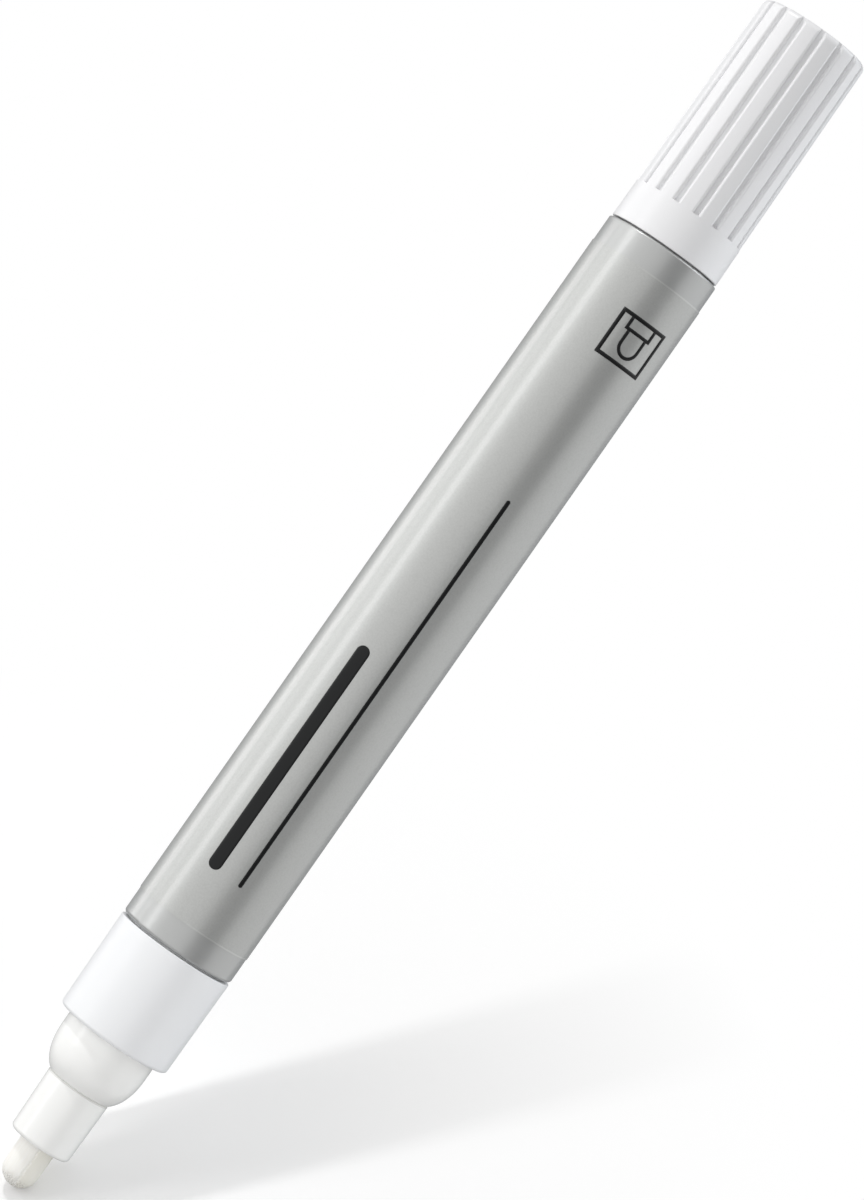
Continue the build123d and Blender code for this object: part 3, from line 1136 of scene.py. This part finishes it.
@dataclass
class Studio:
    """A white floor in pale surroundings, soft lamps, dark cards and the photograph's camera."""

    nib_radius: float
    lean_deg: float = 34.97
    look_down_deg: float = 40.0
    floor_size: float = 3.0
    floor_colour: str = "#ffffff"
    bounce_colour: str = "#ececec"
    surroundings_colour: str = "#e7e7e7"
    floor_lift: float = 0.11
    floor_fade_mm: tuple[float, float] = (0.0, 80.0)
    ambient: float = 0.635
    camera_distance: float = 0.5086
    frame_height_mm: float = 122.05
    aim_across_mm: float = 1.05
    aim_height_mm: float = 73.35
    level_height_mm: float = 76.5
    sensor_mm: float = 36.0

    # Each has its turn and rise, its distance, width, length and target height, and its level
    lamps: tuple[Softbox, ...] = (
        Softbox("key_softbox", -67, 48, 0.55, 0.03, 0.03, 0.06, 0.275),
        Softbox("strip_softbox", -68, 5, 0.55, 0.12, 0.44, 0.06, 0.16),
        Softbox("side_softbox", -94, 0, 0.50, 0.10, 0.22, 0.06, 0.035),
        Softbox("edge_softbox", -115, 0, 0.50, 0.16, 0.18, 0.06, 0.075),
        Softbox("left_fill", -40, 10, 0.20, 0.12, 0.12, 0.11, 0.13, flagged=True),
        Softbox("front_fill", -4, 10, 0.13, 0.09, 0.09, 0.005, 0.165, flagged=True),
        Softbox("right_fill", 95, 10, 0.20, 0.12, 0.12, 0.12, 0.26, "#f1f6fb", flagged=True),
        Softbox("right_softbox", 112, 50, 0.60, 0.35, 0.35, 0.06, 0.20, "#f1f6fb"),
    )
    # Each has its turn and rise, and its distance, width, length and target height
    cards: tuple[DarkCard, ...] = (
        DarkCard("front_right_card", 38, 0, 0.35, 0.28, 0.6, 0.07),
        DarkCard("back_card", 181, 0, 0.12, 0.26, 0.5, 0.07, "#8a8c8e"),
        DarkCard("under_card", 180, -70, 0.1, 0.3, 0.3, 0.0, "#404244"),
    )

    def camera_ways(self) -> tuple[Vector, Vector, Vector]:
        """Turn the camera so that the marker leans right in its picture.

        Returns:
            The picture's right and up, and the way back to the camera.
        """
        lean = math.radians(self.lean_deg)
        right = Vector((math.cos(lean), 0, math.sin(lean)))
        lift = (self.level_height_mm - self.aim_height_mm) * MM
        back = Vector((0, -self.camera_distance, lift)).normalized()
        up = back.cross(right).normalized()
        return up.cross(back), up, back

    def add_camera(self) -> None:
        """Stand the camera where the photograph was taken from."""
        right, up, back = self.camera_ways()
        data = bpy.data.cameras.new("photo_camera")
        data.sensor_width = self.sensor_mm
        data.lens = self.sensor_mm * self.camera_distance / (self.frame_height_mm * MM)
        camera = bpy.data.objects.new("photo_camera", data)
        aim = Vector((self.aim_across_mm, 0, self.aim_height_mm)) * MM
        turned = Matrix((right, up, back)).transposed().to_4x4()
        camera.matrix_world = Matrix.Translation(aim + back * self.camera_distance) @ turned
        bpy.context.scene.collection.objects.link(camera)
        bpy.context.scene.camera = camera

    def seen(self, tree: bpy.types.NodeTree) -> bpy.types.NodeSocket:
        """Tell what is looked at from what only passes light on.

        Args:
            tree: The tree that takes the nodes.
        Returns:
            One where the camera, a reflection or a clear piece looks, and zero for other light.
        """
        path = add_node(tree, "LightPath").outputs
        mirrored = add_node(
            tree,
            "Math",
            {"operation": "ADD", "use_clamp": True},
            {0: path["Is Camera Ray"], 1: path["Is Glossy Ray"]},
        ).outputs[0]
        return add_node(
            tree,
            "Math",
            {"operation": "ADD", "use_clamp": True},
            {0: mirrored, 1: path["Is Transmission Ray"]},
        ).outputs[0]

    def add_surroundings(self) -> None:
        """Light the world evenly, and show it a pale grey."""
        world = bpy.data.worlds.new("pale_surroundings")
        world.use_nodes = True
        world.cycles.sampling_method = "NONE"
        tree = world.node_tree
        tree.nodes.clear()
        level = add_node(
            tree,
            "Math",
            {"operation": "MULTIPLY_ADD", 1: 1 - self.ambient, 2: self.ambient},
            {0: self.seen(tree)},
        ).outputs[0]
        pale = linear(self.surroundings_colour)
        background = add_node(tree, "Background", {"Color": pale}, {"Strength": level})
        add_node(tree, "OutputWorld", links={"Surface": background.outputs[0]})
        bpy.context.scene.world = world

    def floor_material(self) -> bpy.types.Material:
        """Build a matt floor that is seen as white where no shadow falls, and that has no underside.

        Returns:
            The new material.
        """
        material, tree, surface = start_material("matt_white_floor")
        seen = self.seen(tree)
        lift = add_node(tree, "Math", {"operation": "MULTIPLY", 1: self.floor_lift}, {0: seen}).outputs[0]
        bounced, shown = linear(self.bounce_colour), linear(self.floor_colour)
        colour = add_node(
            tree, "Mix", {"data_type": "RGBA", MIX_FIRST: bounced, MIX_SECOND: shown}, {MIX_SHARE: seen}
        ).outputs[MIX_RESULT]
        paint = add_node(tree, "BsdfDiffuse", links={"Color": colour}).outputs[0]
        glow = add_node(tree, "Emission", links={"Strength": lift}).outputs[0]
        lit = add_node(tree, "AddShader", links={0: paint, 1: glow}).outputs[0]
        place = add_node(tree, "TexCoord").outputs["Object"]
        reach = add_node(tree, "VectorMath", {"operation": "LENGTH"}, {0: place}).outputs["Value"]
        start, end = (distance * MM for distance in self.floor_fade_mm)
        far = add_node(tree, "MapRange", {"From Min": start, "From Max": end}, {"Value": reach}).outputs[0]
        faded = add_node(tree, "Math", {"operation": "MULTIPLY"}, {0: far, 1: seen}).outputs[0]
        white = add_node(tree, "Emission").outputs[0]
        upper = add_node(tree, "MixShader", links={0: faded, 1: lit, 2: white}).outputs[0]
        under = add_node(tree, "NewGeometry").outputs["Backfacing"]
        clear = add_node(tree, "BsdfTransparent").outputs[0]
        floor = add_node(tree, "MixShader", links={0: under, 1: upper, 2: clear}).outputs[0]
        tree.links.new(floor, surface)
        return material

    def add_floor(self) -> bpy.types.Collection:
        """Lay the floor under the nib, level in the photograph, where the marker leans.

        Returns:
            A collection that stands for all but the floor, for lamps that are flagged off it.
        """
        _, up, back = self.camera_ways()
        look_down = math.radians(self.look_down_deg)
        normal = (up * math.cos(look_down) + back * math.sin(look_down)).normalized()
        mesh = flat_mesh(self.floor_size, self.floor_size)
        floor = add_piece("white_floor", mesh, self.floor_material())
        touch = Vector((0, 0, self.nib_radius)) - normal * self.nib_radius
        turned = normal.to_track_quat("Z", "Y").to_matrix().to_4x4()
        floor.matrix_world = Matrix.Translation(touch) @ turned
        # Reflections show the pale surroundings in its place
        floor.visible_glossy = False
        off_floor = bpy.data.collections.new("off_floor")
        off_floor.objects.link(floor)
        off_floor.collection_objects[0].light_linking.link_state = "EXCLUDE"
        return off_floor

    def build(self) -> None:
        """Set up floor, surroundings, lamps, cards and camera."""
        self.add_camera()
        self.add_surroundings()
        off_floor = self.add_floor()
        for lamp in self.lamps:
            lamp.add(off_floor)
            LOG.info("%s stands at %d degrees", lamp.name, lamp.turn_deg)
        for card in self.cards:
            card.add()


def main() -> None:
    """Build the marker's own pieces, dress it and set up the studio."""
    logging.basicConfig(level=logging.INFO, format="%(name)s: %(message)s")
    bpy.context.scene.view_settings.view_transform = "Standard"
    nib_low, nib_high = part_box("nib")
    spring_low, spring_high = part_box("valve_spring")
    _, film_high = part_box("label_sleeve")
    press = next(joint for joint in frame["joints"] if joint["name"] == "nib_press")
    dress_nodes()
    FibreNib(radius=nib_high[0], length=nib_high[2] - nib_low[2]).dress()
    ValveSpring(
        outer_radius=spring_high[0],
        bottom=spring_low[2],
        top=spring_high[2],
        press_travel=press["range_m"][1],
    ).dress()
    FilmPrint(film_radius=film_high[0]).dress()
    Studio(nib_radius=nib_high[0]).build()


if __name__ == "__main__":
    main()
